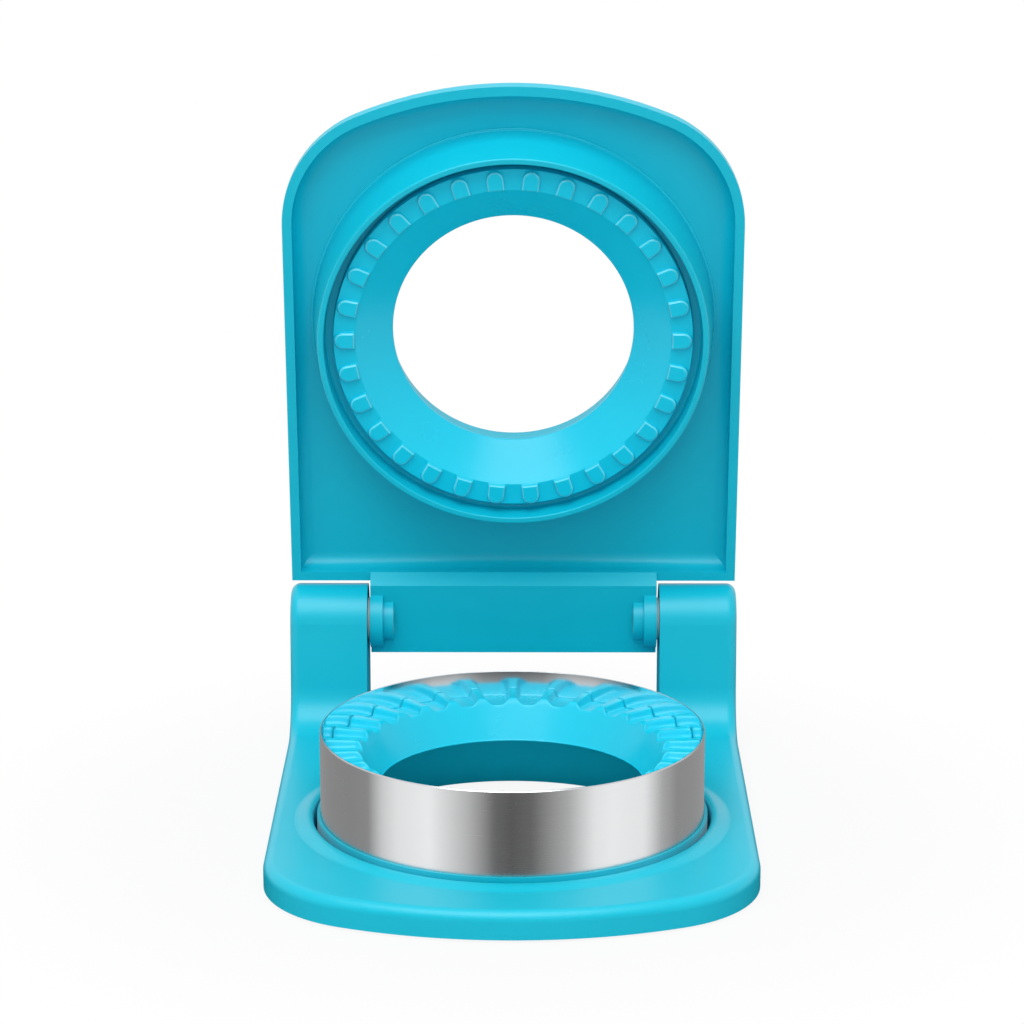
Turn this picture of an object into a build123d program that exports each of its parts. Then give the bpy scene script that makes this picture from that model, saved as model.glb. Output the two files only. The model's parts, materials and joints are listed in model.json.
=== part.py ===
from build123d import *
import math
import os

os.makedirs("parts", exist_ok=True)

# Cutting ring and the heights that hang on it (mm, table at z = 0)
ring_diameter = 92.0
ring_wall = 0.5
ring_height = 25.0
core_lift = 0.8
flange_thickness = 3.4
ring_proud = 4.3

# Base with its two hinge towers
base_depth = 154.15
front_shoulder = 16.75
side_shoulder = 10.15
base_lift = 0.6
base_top = 7.2
wall = 2.4
front_bow_radius = 100.0
corner_radius = 30.7
edge_round = 2.4
tower_width = 19.95
tower_slope = 5.0
tower_sweep_radius = 10.5
lip_height = 0.9
lip_flat = 1.6
lip_slope = 2.6
lip_round = 0.9
lip_blend = 3.0

# Hinge
hinge_drop = 1.7
barrel_radius = 9.2
lid_open = 80.0
lid_gap = 0.9
pin_radius = 2.5
pin_reach = 5.8
pin_running_gap = 0.05
bush_wall = 1.5
bush_length = 6.0
cap_radius = 4.2
cap_thickness = 3.4
cap_round = 0.8
washer_radius = 5.5
washer_gap = 0.05
side_gap = 0.7

# Cutter core: carrier, steel ring and lower crimping ring
fit_gap = 0.05
carrier_wall = 0.8
carrier_wall_height = 4.55
well_gap = 0.85
skirt_wall = 2.0
crimp_width = 8.75
crimp_thickness = 1.8
funnel_reach = 5.1
funnel_depth = 9.5
funnel_wall = 1.6
pocket_depth = 1.9
pocket_gap = 0.5

# Crimping teeth of the lid, which drop into the pockets of the core
tooth_count = 30
tooth_width = 4.4
tooth_height = 1.3
tooth_inset = 0.15
tooth_round = 0.35
crimp_gap = 2.1
tooth_pitch = 360 / tooth_count

# Lid
lid_side_inset = 0.25
lid_front_inset = 0.9
lid_lift = 5.3
lid_roof = 2.0
lid_edge_round = 5.0
pan_round = 3.2
lug_wall = 3.0
lug_end_wall = 3.3
lug_drop = 1.5
lug_floor = 2.4
lug_slot = 2.6
lug_boss_radius = 7.5
collar_drop = 3.7
collar_gap = 1.3
collar_wall = 1.5
collar_flare = 2.2
collar_web = 2.2
collar_groove_gap = 0.8
hub_depth = 2.5
ring_crimp_gap = 0.5
lid_floor_width = 5.5
throat_reach = 9.2
throat_rise = 7.4
throat_land = 0.9
window_plate = 1.2
window_step = 1.0
window_wall = 2.0
window_cover_overlap = 0.8
window_round = 0.9
seat_gap = 0.2

# Screws and feet
screw_head_radius = 1.9
screw_head_height = 1.1
screw_shank_radius = 1.0
screw_gap = 0.02
screw_length = 4.0
lid_screw_length = 9.0
clearance_hole_gap = 0.2
screw_slot_width = 0.6
screw_slot_length = 2.6
screw_slot_depth = 0.6
post_radius = 3.0
cover_thickness = 2.0
cover_gap = 0.2
foot_radius = 4.0
foot_sink = 1.2
foot_round = 0.3
tab_half_width = 3.0
tab_count = 4
crimp_screw_count = 3
lid_screw_count = 6
tip_gap = 0.3
crimp_post_inset = 1.0
crimp_screw_start = 30
lid_post_inset = 1.5
front_screw_inset = 16.1
front_screw_gap = 6.12
side_screw_gap = 1.2

# Places worked out from the sizes above
ring_radius = ring_diameter / 2
ring_inner_radius = ring_radius - ring_wall
flange_top = core_lift + flange_thickness
ring_top = flange_top + ring_height
crest_z = ring_top - ring_proud
carrier_radius = ring_radius + fit_gap + carrier_wall
well_radius = carrier_radius + well_gap
base_half_width = well_radius + side_shoulder
rear_y = base_depth / 2
front_y = -base_depth / 2
ring_y = front_y + front_shoulder + well_radius
skirt_radius = ring_inner_radius - fit_gap
skirt_inner_radius = skirt_radius - skirt_wall
crimp_inner_radius = ring_inner_radius - crimp_width
funnel_radius = crimp_inner_radius - funnel_reach
funnel_bottom = crest_z - funnel_depth
tower_inner = base_half_width - tower_width
tower_y = rear_y - 2 * barrel_radius
hinge_y = rear_y - barrel_radius
slope = math.radians(tower_slope)
lid_rim_height = ring_top + lid_lift
hinge_height = lid_rim_height - hinge_drop
tower_top = hinge_height + barrel_radius
tower_bend_y = hinge_y - barrel_radius * math.cos(slope)
tower_bend_z = hinge_height + barrel_radius * math.sin(slope)
tower_foot_y = tower_bend_y - (tower_bend_z - base_top) * math.tan(slope)
hinge_line = Axis((0, hinge_y, hinge_height), (1, 0, 0))
lid_half_width = base_half_width - lid_side_inset
lid_rear_y = hinge_y - barrel_radius - lid_gap
lid_front_y = front_y + lid_front_inset
lid_top = hinge_height + barrel_radius
lid_height = lid_top - lid_rim_height
pan_z = lid_top - lid_roof
pan_depth = pan_z - lid_rim_height
lug_half_width = tower_inner - side_gap
lug_floor_z = hinge_height - lug_drop + lug_floor
floor_z = crest_z + crimp_gap
collar_z = floor_z - collar_drop
collar_inner_radius = ring_radius + collar_gap
collar_outer_radius = collar_inner_radius + collar_wall
collar_foot_radius = collar_outer_radius + collar_flare
web_top = pan_z - hub_depth
web_bottom = web_top - collar_web
groove_top = ring_top + collar_groove_gap
lid_crimp_radius = ring_inner_radius - ring_crimp_gap
lid_floor_radius = lid_crimp_radius - lid_floor_width
throat_radius = lid_floor_radius - throat_reach
throat_z = floor_z + throat_rise
window_radius = throat_radius + window_step
window_hole_radius = window_radius + window_wall
window_cover_radius = lid_crimp_radius + window_cover_overlap
bush_radius = pin_radius + pin_running_gap + bush_wall
ring_axis = Axis((0, ring_y, 0), (0, 0, 1))
ring_section = Plane((0, ring_y, 0), x_dir=(1, 0, 0), z_dir=(0, -1, 0))
post_top = base_top - wall
cover_top = base_lift + cover_thickness
clearance_hole_radius = screw_shank_radius + clearance_hole_gap
head_hole_radius = screw_head_radius + clearance_hole_gap
thread_hole_radius = screw_shank_radius + screw_gap
tab_reach = well_radius + wall + post_radius / 2
tab_start = 360 / tab_count / 2
corner_y = front_y + front_bow_radius - math.sqrt(
    (front_bow_radius - corner_radius) ** 2 - (base_half_width - corner_radius) ** 2
)
foot_offset = (corner_radius - wall - cover_gap - foot_radius - lip_round) / math.sqrt(2)
foot_points = {
    "front_left_foot": (-(base_half_width - corner_radius + foot_offset), corner_y - foot_offset),
    "front_right_foot": (base_half_width - corner_radius + foot_offset, corner_y - foot_offset),
    "rear_left_foot": (-(tower_inner + tower_width / 2), hinge_y),
    "rear_right_foot": (tower_inner + tower_width / 2, hinge_y),
}
cover_edge = base_half_width - wall - post_radius - lip_round
base_screw_points = [
    (side * x, y)
    for side in (-1, 1)
    for x, y in (
        (ring_radius - front_screw_inset, ring_y - well_radius - front_screw_gap),
        (cover_edge, tower_y - tower_sweep_radius - side_screw_gap),
        (tower_inner - tower_width / 2, hinge_y),
    )
]


def plan(half_width, front, rear, inset=0.0):
    """Draw the outline seen from above: straight sides and back, bowed front, round front corners."""
    length = rear - front
    with Locations((0, front + length / 2 - inset)):
        Rectangle(2 * (half_width - inset), length)
    with Locations((0, front + front_bow_radius)):
        Circle(front_bow_radius - inset, mode=Mode.INTERSECT)
    fillet(vertices().group_by(Axis.Y)[0], corner_radius - inset)


def screws(points, head_z, length):
    """Make a group of like screws, heads down at head_z, shanks pointing up."""
    with BuildPart() as group:
        with BuildSketch(Plane.XY.offset(head_z)):
            with Locations(points):
                Circle(screw_head_radius)
        extrude(amount=screw_head_height)
        with BuildSketch(Plane.XY.offset(head_z + screw_head_height)):
            with Locations(points):
                Circle(screw_shank_radius)
        extrude(amount=length)
        with BuildSketch(Plane.XY.offset(head_z)):
            with Locations(points):
                Rectangle(screw_slot_length, screw_slot_width)
                Rectangle(screw_slot_width, screw_slot_length)
        extrude(amount=screw_slot_depth, mode=Mode.SUBTRACT)
    return group.part


def polar_points(radius, count, start):
    """Give evenly spaced points on a circle round the ring's axis."""
    angles = [math.radians(start + 360 * i / count) for i in range(count)]
    return [(radius * math.cos(a), ring_y + radius * math.sin(a)) for a in angles]


def tooth_plan(outer_radius, inner_radius, width):
    """Draw one tooth per pitch round the ring's axis, each with a round outer end."""
    length = outer_radius - inner_radius
    with Locations((0, ring_y)):
        with PolarLocations(0, tooth_count, start_angle=90 - tooth_pitch / 2):
            with Locations((outer_radius - width / 2, 0)):
                Circle(width / 2)
            with Locations((inner_radius + (length - width / 2) / 2, 0)):
                Rectangle(length - width / 2, width)


def export(part, label):
    """Name a finished piece and write it."""
    part.label = label
    export_step(part, f"parts/{label}.step")


def export_opened(part, label):
    """Swing a piece that was drawn for the closed lid to where the open lid holds it, and write it."""
    export(part.rotate(hinge_line, -lid_open), label)


tab_points = polar_points(tab_reach, tab_count, tab_start)
crimp_post_radius = skirt_inner_radius - crimp_post_inset
crimp_post_points = polar_points(crimp_post_radius, crimp_screw_count, crimp_screw_start)
lid_post_radius = lid_crimp_radius - skirt_wall - lid_post_inset
lid_post_points = polar_points(lid_post_radius, lid_screw_count, 0)

# Base shell: plate, towers and the sweep between them in one moulding, hollow from below
with BuildPart() as base_shell:
    with BuildSketch(Plane.YZ):
        with BuildLine():
            Line((front_y - wall, base_top), (front_y - wall, base_lift))
            Line((front_y - wall, base_lift), (rear_y, base_lift))
            Line((rear_y, base_lift), (rear_y, hinge_height))
            CenterArc((hinge_y, hinge_height), barrel_radius, 0, 180 - tower_slope)
            FilletPolyline(
                (tower_bend_y, tower_bend_z),
                (tower_foot_y, base_top),
                (front_y - wall, base_top),
                radius=tower_sweep_radius,
            )
        make_face()
    extrude(amount=base_half_width, both=True)
    with BuildSketch():
        plan(base_half_width, front_y, rear_y)
    extrude(amount=tower_top + wall, mode=Mode.INTERSECT)
    with BuildSketch(Plane.XY.offset(base_top)):
        with Locations((0, rear_y - base_depth / 4)):
            Rectangle(2 * tower_inner, base_depth / 2)
    extrude(amount=tower_top, mode=Mode.SUBTRACT)
    outer_edges = [
        edge
        for edge in edges()
        if edge.center().Z > base_top - lip_round
        and (
            abs(abs(edge.center().X) - base_half_width) < lip_round
            or edge.center().Y < corner_y
        )
    ]
    rear_corners = edges().filter_by(Axis.Z).group_by(Axis.Y)[-1].group_by(Axis.X)
    outer_edges += [edge for edge in rear_corners[0] + rear_corners[-1] if edge not in outer_edges]
    fillet(outer_edges, edge_round)
    with BuildSketch(ring_section):
        with BuildLine():
            Polyline(
                (well_radius, base_top - wall / 2),
                (well_radius, base_top + lip_height),
                (well_radius + lip_flat, base_top + lip_height),
                (well_radius + lip_flat + lip_slope, base_top),
                (well_radius + lip_flat + lip_slope, base_top - wall / 2),
                close=True,
            )
        make_face()
    revolve(axis=ring_axis)
    lip_bends = [
        edge
        for edge in edges().filter_by(GeomType.CIRCLE)
        if (
            abs(edge.radius - well_radius - lip_flat) < fit_gap
            and abs(edge.center().Z - base_top - lip_height) < fit_gap
        )
        or (
            abs(edge.radius - well_radius - lip_flat - lip_slope) < fit_gap
            and abs(edge.center().Z - base_top) < fit_gap
        )
    ]
    fillet(lip_bends, lip_blend)

    # Hollow of the plate, with the wall of the well and the screw posts left standing
    with BuildSketch(Plane.XY.offset(base_lift)):
        plan(base_half_width, front_y, rear_y, wall)
        with Locations((0, ring_y)):
            Circle(well_radius + wall, mode=Mode.SUBTRACT)
    extrude(amount=post_top - base_lift, mode=Mode.SUBTRACT)
    for points, seat_z in ((base_screw_points, cover_top), (tab_points, flange_top)):
        with BuildSketch(Plane.XY.offset(seat_z)):
            with Locations(points):
                Circle(post_radius)
        extrude(amount=post_top - seat_z + fit_gap)

    # Hollow of each tower, crossed by the tube that holds the pin
    for side in (-1, 1):
        with BuildSketch(Plane.YZ.offset(side * (tower_inner + tower_width / 2))):
            with Locations((hinge_y, hinge_height)):
                Circle(barrel_radius - wall)
            with Locations((hinge_y, (hinge_height + post_top) / 2 - wall / 2)):
                Rectangle(2 * (barrel_radius - wall), hinge_height - post_top + wall)
        extrude(amount=tower_width / 2 - wall, both=True, mode=Mode.SUBTRACT)
        with BuildSketch(Plane.YZ.offset(side * (tower_inner + tower_width / 2))):
            with Locations((hinge_y, hinge_height)):
                Circle(pin_radius + wall + bush_wall)
        extrude(amount=tower_width / 2 - wall / 2, both=True)
        with BuildSketch(Plane.YZ.offset(side * (tower_inner + tower_width / 2))):
            with Locations((hinge_y, hinge_height)):
                Circle(pin_radius + fit_gap)
        extrude(amount=tower_width / 2, both=True, mode=Mode.SUBTRACT)
        with BuildSketch(Plane.YZ.offset(side * base_half_width)):
            with Locations((hinge_y, hinge_height)):
                Circle(cap_radius + fit_gap)
        extrude(amount=-side * (cap_thickness + fit_gap), mode=Mode.SUBTRACT)

    # Well for the cutter core, its tab notches and the screw holes
    with BuildSketch():
        with Locations((0, ring_y)):
            Circle(well_radius)
    extrude(amount=base_top + wall, mode=Mode.SUBTRACT)
    with BuildSketch(Plane.XY.offset(base_lift)):
        with Locations((0, ring_y)):
            with PolarLocations(0, tab_count, start_angle=tab_start):
                with Locations((well_radius + wall / 2, 0)):
                    Rectangle(2 * wall, 2 * (tab_half_width + cover_gap))
    extrude(amount=flange_top - base_lift, mode=Mode.SUBTRACT)
    with BuildSketch(Plane.XY.offset(base_lift)):
        with Locations(base_screw_points + tab_points):
            Circle(thread_hole_radius)
    extrude(amount=base_lift + screw_head_height + screw_length + tip_gap, mode=Mode.SUBTRACT)
    lip_edge = [edge for edge in edges().filter_by(GeomType.CIRCLE)
                if abs(edge.radius - well_radius) < fit_gap and edge.center().Z > base_top]
    fillet(lip_edge, lip_round)
export(base_shell.part, "base_shell")

# Cover that closes the hollow from below
with BuildPart() as base_cover:
    with BuildSketch(Plane.XY.offset(base_lift)):
        plan(base_half_width, front_y, rear_y, wall + cover_gap)
        with Locations((0, ring_y)):
            Circle(well_radius + wall + cover_gap, mode=Mode.SUBTRACT)
            with PolarLocations(0, tab_count, start_angle=tab_start):
                with Locations((tab_reach / 2, 0)):
                    Rectangle(tab_reach, 2 * (tab_half_width + cover_gap), mode=Mode.SUBTRACT)
                with Locations((tab_reach, 0)):
                    Circle(tab_half_width + cover_gap, mode=Mode.SUBTRACT)
    extrude(amount=cover_thickness)
    with BuildSketch(Plane.XY.offset(base_lift)):
        with Locations(base_screw_points):
            Circle(clearance_hole_radius)
    extrude(amount=cover_thickness, mode=Mode.SUBTRACT)
    with BuildSketch(Plane.XY.offset(base_lift)):
        with Locations(base_screw_points):
            Circle(head_hole_radius)
    extrude(amount=screw_head_height, mode=Mode.SUBTRACT)
    with BuildSketch(Plane.XY.offset(base_lift)):
        with Locations(list(foot_points.values())):
            Circle(foot_radius + fit_gap)
    extrude(amount=foot_sink, mode=Mode.SUBTRACT)
export(base_cover.part, "base_cover")

for foot_name, foot_place in foot_points.items():
    with BuildPart() as foot:
        with BuildSketch():
            with Locations(foot_place):
                Circle(foot_radius)
        extrude(amount=base_lift + foot_sink)
        fillet(edges().group_by(Axis.Z)[0], foot_round)
    export(foot.part, foot_name)

export(screws(base_screw_points, base_lift, screw_length), "base_screws")

# Carrier: the foot of the cutter core, with a wall round the steel and tabs that hold it in the base
with BuildPart() as ring_carrier:
    with BuildSketch(Plane.XY.offset(core_lift)):
        with Locations((0, ring_y)):
            Circle(carrier_radius)
            with PolarLocations(0, tab_count, start_angle=tab_start):
                with Locations((tab_reach / 2, 0)):
                    Rectangle(tab_reach, 2 * tab_half_width)
                with Locations((tab_reach, 0)):
                    Circle(tab_half_width)
            Circle(skirt_inner_radius, mode=Mode.SUBTRACT)
        with Locations(crimp_post_points):
            Circle(post_radius)
    extrude(amount=flange_thickness - fit_gap)
    with BuildSketch(Plane.XY.offset(flange_top - wall / 2)):
        with Locations((0, ring_y)):
            Circle(carrier_radius)
            Circle(ring_radius + fit_gap, mode=Mode.SUBTRACT)
    extrude(amount=carrier_wall_height + wall / 2)
    with BuildSketch(Plane.XY.offset(core_lift)):
        with Locations(tab_points + crimp_post_points):
            Circle(clearance_hole_radius)
    extrude(amount=flange_thickness, mode=Mode.SUBTRACT)
    with BuildSketch(Plane.XY.offset(core_lift)):
        with Locations(tab_points + crimp_post_points):
            Circle(head_hole_radius)
    extrude(amount=screw_head_height, mode=Mode.SUBTRACT)
export(ring_carrier.part, "ring_carrier")
export(screws(tab_points, core_lift, screw_length), "core_screws")

# Steel band that cuts the bread
with BuildPart() as cutter_ring:
    with BuildSketch(Plane.XY.offset(flange_top)):
        with Locations((0, ring_y)):
            Circle(ring_radius)
            Circle(ring_inner_radius, mode=Mode.SUBTRACT)
    extrude(amount=ring_height)
    cutting_edge = edges().group_by(Axis.Z)[-1].sort_by(SortBy.RADIUS)[-1]
    chamfer(cutting_edge, ring_wall / 2)
export(cutter_ring.part, "cutter_ring")

# Lower crimping ring: skirt inside the steel, pocketed crest, and the funnel that leaves room for the filling
with BuildPart() as lower_crimp_ring:
    with BuildSketch(ring_section):
        with BuildLine():
            Polyline(
                (skirt_radius, flange_top),
                (skirt_radius, crest_z),
                (crimp_inner_radius, crest_z),
                (funnel_radius, funnel_bottom),
                (funnel_radius + funnel_wall, funnel_bottom),
                (crimp_inner_radius + funnel_wall, crest_z - pocket_depth - crimp_thickness),
                (skirt_inner_radius, crest_z - pocket_depth - crimp_thickness),
                (skirt_inner_radius, flange_top),
                close=True,
            )
        make_face()
    revolve(axis=ring_axis)
    with BuildSketch(Plane.XY.offset(flange_top)):
        with Locations(crimp_post_points):
            Circle(post_radius)
    extrude(amount=crest_z - pocket_depth - crimp_thickness - flange_top)
    with BuildSketch(Plane.XY.offset(flange_top)):
        with Locations(crimp_post_points):
            Circle(thread_hole_radius)
    extrude(amount=screw_length, mode=Mode.SUBTRACT)
    with BuildSketch(Plane.XY.offset(crest_z)):
        tooth_plan(skirt_radius - tooth_inset, funnel_radius, tooth_width + 2 * pocket_gap)
    extrude(amount=-pocket_depth, mode=Mode.SUBTRACT)
export(lower_crimp_ring.part, "lower_crimp_ring")
export(screws(crimp_post_points, core_lift, screw_length), "crimp_screws")

# Hinge hardware, a set on each side
for side, side_name in ((-1, "left"), (1, "right")):
    with BuildPart() as hinge_pin:
        with BuildSketch(Plane.YZ.offset(side * (lug_half_width - pin_reach))):
            with Locations((hinge_y, hinge_height)):
                Circle(pin_radius)
        extrude(amount=side * (base_half_width - cap_thickness - fit_gap - lug_half_width + pin_reach))
        chamfer(edges(), fit_gap * 6)
    export(hinge_pin.part, f"hinge_pin_{side_name}")

    with BuildPart() as pin_cap:
        with BuildSketch(Plane.YZ.offset(side * base_half_width)):
            with Locations((hinge_y, hinge_height)):
                Circle(cap_radius)
        extrude(amount=-side * cap_thickness)
        fillet(edges().sort_by(Axis.X)[-1 if side > 0 else 0], cap_round)
    export(pin_cap.part, f"pin_cap_{side_name}")

    with BuildPart() as side_washer:
        with BuildSketch(Plane.YZ.offset(side * (lug_half_width + washer_gap))):
            with Locations((hinge_y, hinge_height)):
                Circle(washer_radius)
                Circle(pin_radius + fit_gap, mode=Mode.SUBTRACT)
        extrude(amount=side * (side_gap - 2 * washer_gap))
    export(side_washer.part, f"side_washer_{side_name}")

    with BuildPart() as hinge_bush:
        with BuildSketch(Plane.YZ.offset(side * lug_half_width)):
            with Locations((hinge_y, hinge_height)):
                Circle(bush_radius)
                Circle(pin_radius + pin_running_gap, mode=Mode.SUBTRACT)
        extrude(amount=-side * bush_length)
    export_opened(hinge_bush.part, f"hinge_bush_{side_name}")

# Lid shell, drawn closed: a shallow pan with a hinge lug that reaches back between the towers
with BuildPart() as lid_shell:
    with BuildSketch(Plane.XY.offset(lid_rim_height)):
        plan(lid_half_width, lid_front_y, lid_rear_y)
    extrude(amount=lid_height)
    top_edges = [
        edge for edge in edges().group_by(Axis.Z)[-1] if edge.center().Y < lid_rear_y - fit_gap
    ]
    fillet(top_edges, lid_edge_round)
    with BuildSketch(Plane.XY.offset(lid_rim_height)):
        plan(lid_half_width, lid_front_y, lid_rear_y, wall)
    extrude(amount=pan_depth, mode=Mode.SUBTRACT)
    pan_edges = [
        edge
        for edge in edges().filter_by(lambda e: abs(e.center().Z - pan_z) < fit_gap)
        if edge.center().Y < lid_rear_y
    ]
    fillet(pan_edges, pan_round)
    with BuildSketch(Plane.YZ):
        with BuildLine():
            Line((lid_rear_y - wall, lid_rim_height), (lid_rear_y - wall, lid_top))
            Line((lid_rear_y - wall, lid_top), (hinge_y, lid_top))
            CenterArc((hinge_y, hinge_height), barrel_radius, 0, 90)
            Line((rear_y, hinge_height), (rear_y, hinge_height - lug_drop))
            Line((rear_y, hinge_height - lug_drop), (lid_rear_y, hinge_height - lug_drop))
            Line((lid_rear_y, hinge_height - lug_drop), (lid_rear_y - wall, lid_rim_height))
        make_face()
    extrude(amount=lug_half_width, both=True)
    with BuildSketch(Plane.YZ):
        with Locations((hinge_y, hinge_height)):
            Circle(barrel_radius - lug_wall)
        with Locations((hinge_y, lug_floor_z - barrel_radius)):
            Rectangle(2 * barrel_radius, 2 * barrel_radius, mode=Mode.SUBTRACT)
        with Locations((hinge_y + barrel_radius, lug_floor_z + lug_slot / 2)):
            Rectangle(2 * barrel_radius, lug_slot)
    extrude(amount=lug_half_width - lug_end_wall, both=True, mode=Mode.SUBTRACT)
    for side in (-1, 1):
        with BuildSketch(Plane.YZ.offset(side * lug_half_width)):
            with Locations((hinge_y, hinge_height)):
                Circle(lug_boss_radius)
        extrude(amount=-side * lug_end_wall)
        with BuildSketch(Plane.YZ.offset(side * (lug_half_width - lug_end_wall))):
            with Locations((hinge_y, hinge_height)):
                Circle(bush_radius + bush_wall)
        extrude(amount=-side * (bush_length - lug_end_wall))
        with BuildSketch(Plane.YZ.offset(side * lug_half_width)):
            with Locations((hinge_y, hinge_height)):
                Circle(bush_radius)
        extrude(amount=-side * bush_length, mode=Mode.SUBTRACT)
        with BuildSketch(Plane.YZ.offset(side * lug_half_width)):
            with Locations((hinge_y, hinge_height)):
                Circle(pin_radius + 3 * fit_gap)
        extrude(amount=-side * (pin_reach + fit_gap), mode=Mode.SUBTRACT)

    # Hub in the middle of the pan, where the pressing parts are screwed on and the window is
    with BuildSketch(Plane.XY.offset(web_top)):
        with Locations((0, ring_y)):
            Circle(collar_inner_radius - fit_gap)
    extrude(amount=hub_depth + fit_gap)
    with BuildSketch(Plane.XY.offset(web_top)):
        with Locations((0, ring_y)):
            Circle(window_hole_radius + seat_gap)
    extrude(amount=lid_height, mode=Mode.SUBTRACT)
    with BuildSketch(Plane.XY.offset(lid_top)):
        with Locations((0, ring_y)):
            Circle(window_cover_radius + seat_gap)
    extrude(amount=-window_plate, mode=Mode.SUBTRACT)
    with BuildSketch(Plane.XY.offset(lid_top - window_plate)):
        with Locations(lid_post_points):
            Circle(head_hole_radius)
    extrude(amount=-screw_head_height, mode=Mode.SUBTRACT)
    with BuildSketch(Plane.XY.offset(lid_top - window_plate)):
        with Locations(lid_post_points):
            Circle(clearance_hole_radius)
    extrude(amount=-lid_height, mode=Mode.SUBTRACT)
export_opened(lid_shell.part, "lid_shell")

# Collar that pushes the crusts down outside the steel ring
with BuildPart() as press_collar:
    with BuildSketch(ring_section):
        with BuildLine():
            Polyline(
                (collar_inner_radius, collar_z),
                (collar_outer_radius, collar_z),
                (collar_foot_radius, pan_z),
                (collar_inner_radius, pan_z),
                (collar_inner_radius, web_top),
                (lid_floor_radius - wall, web_top),
                (lid_floor_radius - wall, web_bottom),
                (lid_crimp_radius + fit_gap, web_bottom),
                (lid_crimp_radius + fit_gap, groove_top),
                (collar_inner_radius, groove_top),
                close=True,
            )
        make_face()
    revolve(axis=ring_axis)
    with BuildSketch(Plane.XY.offset(web_bottom)):
        with Locations(lid_post_points):
            Circle(clearance_hole_radius)
    extrude(amount=collar_web, mode=Mode.SUBTRACT)
export_opened(press_collar.part, "press_collar")

# Upper crimping ring: toothed floor, funnel that domes over the filling, and posts for the lid screws
with BuildPart() as upper_crimp_ring:
    with BuildSketch(ring_section):
        with BuildLine():
            Polyline(
                (lid_crimp_radius, floor_z),
                (lid_crimp_radius, web_bottom),
                (lid_crimp_radius - skirt_wall, web_bottom),
                (lid_crimp_radius - skirt_wall, floor_z + crimp_thickness),
                (lid_floor_radius + crimp_thickness / 2, floor_z + crimp_thickness),
                (throat_radius + crimp_thickness, throat_z),
                (throat_radius + crimp_thickness, throat_z + throat_land),
                (throat_radius, throat_z + throat_land),
                (throat_radius, throat_z),
                (lid_floor_radius, floor_z),
                close=True,
            )
        make_face()
    revolve(axis=ring_axis)
    with BuildSketch(Plane.XY.offset(floor_z + crimp_thickness)):
        with Locations(lid_post_points):
            Circle(post_radius)
    extrude(amount=web_bottom - floor_z - crimp_thickness)
    with BuildSketch(Plane.XY.offset(web_bottom)):
        with Locations(lid_post_points):
            Circle(thread_hole_radius)
    extrude(amount=-(web_bottom - floor_z - crimp_thickness), mode=Mode.SUBTRACT)
    with BuildSketch(Plane.XY.offset(floor_z)):
        tooth_plan(lid_crimp_radius - tooth_inset, lid_floor_radius + tooth_inset, tooth_width)
    extrude(amount=-tooth_height)
    tooth_edges = edges().group_by(Axis.Z)[0]
    chamfer(tooth_edges, tooth_round)
export_opened(upper_crimp_ring.part, "upper_crimp_ring")

# Ring round the window on the back of the lid, which hides the screws
with BuildPart() as window_ring:
    with BuildSketch(ring_section):
        with BuildLine():
            Polyline(
                (window_radius, throat_z + throat_land + fit_gap),
                (window_hole_radius, throat_z + throat_land + fit_gap),
                (window_hole_radius, lid_top - window_plate),
                (window_cover_radius, lid_top - window_plate),
                (window_cover_radius, lid_top),
                (window_radius, lid_top),
                close=True,
            )
        make_face()
    revolve(axis=ring_axis)
    window_edge = edges().group_by(Axis.Z)[-1].sort_by(SortBy.RADIUS)[0]
    fillet(window_edge, window_round)
export_opened(window_ring.part, "window_ring")

# The lid's screws hang head up, so the group is made head down and turned over
lid_screw_head_z = lid_top - window_plate
lid_screws = screws(lid_post_points, -lid_screw_head_z, lid_screw_length)
lid_screws = lid_screws.rotate(Axis((0, ring_y, 0), (0, 1, 0)), 180)
export_opened(lid_screws, "lid_screws")
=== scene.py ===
import json
import math

import bmesh
import bpy
import numpy as np
from bpy.props import FloatProperty, FloatVectorProperty, PointerProperty
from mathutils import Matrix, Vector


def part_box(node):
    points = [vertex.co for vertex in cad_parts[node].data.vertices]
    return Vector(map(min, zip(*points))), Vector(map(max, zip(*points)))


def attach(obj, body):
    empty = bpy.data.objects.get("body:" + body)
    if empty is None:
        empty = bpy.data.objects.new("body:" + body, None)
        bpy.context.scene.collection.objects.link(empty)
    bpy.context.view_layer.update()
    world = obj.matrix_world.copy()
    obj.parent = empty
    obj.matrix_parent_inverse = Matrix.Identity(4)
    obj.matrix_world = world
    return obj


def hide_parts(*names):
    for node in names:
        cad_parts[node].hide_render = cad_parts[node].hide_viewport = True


bl_info = {
    "name": "Sandwich cutter and sealer",
    "version": (1, 0, 0),
    "blender": (4, 5, 0),
    "location": "3D View > Sidebar > Sandwich cutter",
    "description": "Dresses the packed model of the sandwich cutter: rings, finishes, table and light",
    "category": "Object",
}

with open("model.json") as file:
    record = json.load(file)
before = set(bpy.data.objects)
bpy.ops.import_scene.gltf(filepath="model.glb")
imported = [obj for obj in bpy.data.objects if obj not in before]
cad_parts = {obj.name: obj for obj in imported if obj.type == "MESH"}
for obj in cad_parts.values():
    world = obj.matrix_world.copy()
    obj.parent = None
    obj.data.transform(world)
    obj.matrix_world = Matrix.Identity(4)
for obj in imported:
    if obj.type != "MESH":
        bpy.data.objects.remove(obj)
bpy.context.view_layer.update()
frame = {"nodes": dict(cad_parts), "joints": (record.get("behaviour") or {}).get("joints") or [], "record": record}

METRE = 1000.0  # millimetres in a metre; every shape below is drawn in millimetres
BAND_LOW, BAND_HIGH = (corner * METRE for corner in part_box("cutter_ring"))
CORE_LOW, CORE_HIGH = (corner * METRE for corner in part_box("lower_crimp_ring"))
RING_Y = (BAND_LOW.y + BAND_HIGH.y) / 2
BAND_RADIUS = (BAND_HIGH.x - BAND_LOW.x) / 2
CREST = CORE_HIGH.z
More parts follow.
